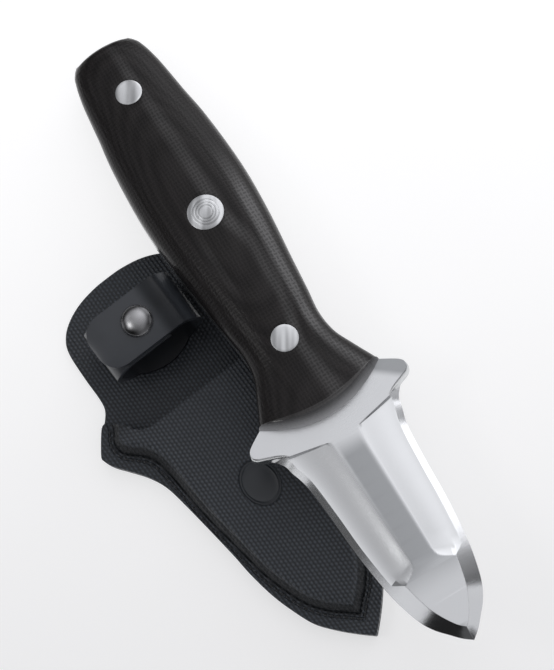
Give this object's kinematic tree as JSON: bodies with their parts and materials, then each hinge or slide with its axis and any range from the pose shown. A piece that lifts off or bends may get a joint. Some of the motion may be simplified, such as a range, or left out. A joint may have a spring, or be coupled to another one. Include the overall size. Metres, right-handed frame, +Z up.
{
  "type": "oyster knife with sheath",
  "caption": "Oyster knife with a short double-edged guarded blade and riveted handle scales, leaning on its moulded leather sheath with a snap strap.",
  "frame": {"origin": "middle of the length and width of the sheath's flat back face, on the surface that it lies on", "axes": "+X along the sheath towards its point, +Y towards the knife lying beside it, +Z up"},
  "size_m": [0.181, 0.0753, 0.0302],
  "materials": {
    "blade_steel": "satin, ground and polished",
    "rivet_steel": "satin, ground flush",
    "handle_laminate": "fine woven laminate, low sheen",
    "sheath_leather": "embossed weave, semi-matte",
    "strap_leather": "smooth, glossy",
    "snap_metal": "dark plated"
  },
  "bodies": {
    "sheath": {"back_panel": "sheath_leather", "front_panel": "sheath_leather", "strap_base": "strap_leather", "snap_stud": "snap_metal", "snap_post": "snap_metal"},
    "knife": {"blade": "blade_steel", "front_scale": "handle_laminate", "rear_scale": "handle_laminate", "butt_rivet_front": "rivet_steel", "butt_rivet_rear": "rivet_steel", "middle_rivet_front": "rivet_steel", "middle_rivet_rear": "rivet_steel", "guard_rivet_front": "rivet_steel", "guard_rivet_rear": "rivet_steel"},
    "strap": {"strap_tongue": "strap_leather", "snap_cap": "snap_metal", "snap_socket": "snap_metal"}
  },
  "joints": [
    {"name": "knife_lift", "type": "slide", "parent": "sheath", "child": "knife", "axis": [0, 0, 1], "range_m": [0, 0.08]},
    {"name": "strap_open", "type": "hinge", "parent": "sheath", "child": "strap", "pos_m": [-0.0393, 0.007, 0.0195], "axis": [-1, 0, 0], "range_deg": [0, 120]}
  ]
}
